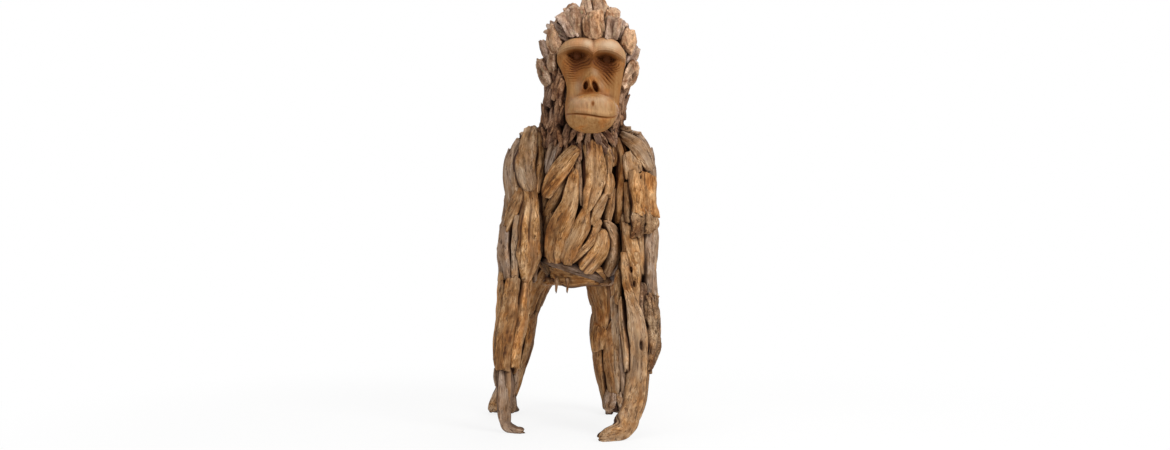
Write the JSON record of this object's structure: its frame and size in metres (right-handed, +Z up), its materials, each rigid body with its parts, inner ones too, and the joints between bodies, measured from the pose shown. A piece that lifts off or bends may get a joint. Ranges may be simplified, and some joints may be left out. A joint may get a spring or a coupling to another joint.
{
  "type": "gorilla sculpture",
  "caption": "Standing gorilla on all fours, pieced together from split weathered roots over timber blocks, with a smooth carved face and root hands and feet.",
  "frame": {"origin": "on the floor under the middle of the figure's outline", "axes": "+Z up, -Y the way the figure faces, +X to the figure's own left"},
  "size_m": [0.5086, 0.694, 1.2128],
  "materials": {
    "brown_root": "weathered, orange-brown, split along the grain",
    "grey_root": "weathered grey-brown, worn round",
    "bark_root": "rough bark side with pale flecks",
    "carved_wood": "carved and rubbed smooth, satin",
    "rough_timber": "rough dark timber, behind the roots and in the belly's rail"
  },
  "bodies": {
    "root": {"trunk_block": "rough_timber", "head_block": "rough_timber", "arm_post_right": "rough_timber", "arm_post_left": "rough_timber", "leg_post_right": "rough_timber", "leg_post_left": "rough_timber", "face": "carved_wood", "crown_centre": "bark_root", "crown_right": "bark_root", "crown_left": "bark_root", "crown_back": "bark_root", "ear_right": "bark_root", "ear_left": "bark_root", "cheek_right": "bark_root", "cheek_left": "bark_root", "beard": "bark_root", "nape": "bark_root", "hand_right": "grey_root", "hand_left": "grey_root", "foot_right": "grey_root", "foot_left": "grey_root", "chest_centre_plank": "brown_root", "chest_right_diagonal": "brown_root", "belly_right_plank": "brown_root", "belly_centre_plank": "brown_root", "belly_scoop": "brown_root", "belly_left_plank": "brown_root", "chest_left_slats": "brown_root", "collar_right": "grey_root", "belly_rail": "rough_timber", "belly_board": "brown_root", "shoulder_right_cap": "grey_root", "shoulder_right_inner": "brown_root", "shoulder_right_outer": "grey_root", "upper_arm_right_front": "brown_root", "elbow_right": "grey_root", "forearm_right_plank": "brown_root", "forearm_right_strip": "brown_root", "forearm_right_rear": "brown_root", "arm_right_rear": "grey_root", "shoulder_left_top": "grey_root", "shoulder_left_back": "grey_root", "upper_arm_left_block": "brown_root", "elbow_left_inner": "brown_root", "elbow_left_outer": "grey_root", "forearm_left_knotted": "brown_root", "forearm_left_twist": "grey_root", "forearm_left_rear": "brown_root", "arm_left_rear": "grey_root", "thigh_right": "brown_root", "shin_right": "brown_root", "leg_right_rear": "brown_root", "thigh_left": "brown_root", "shin_left": "brown_root", "leg_left_rear": "brown_root", "flank_right": "grey_root", "flank_left": "grey_root", "back_upper": "grey_root", "back_lower": "brown_root", "rump": "brown_root"}
  },
  "joints": []
}
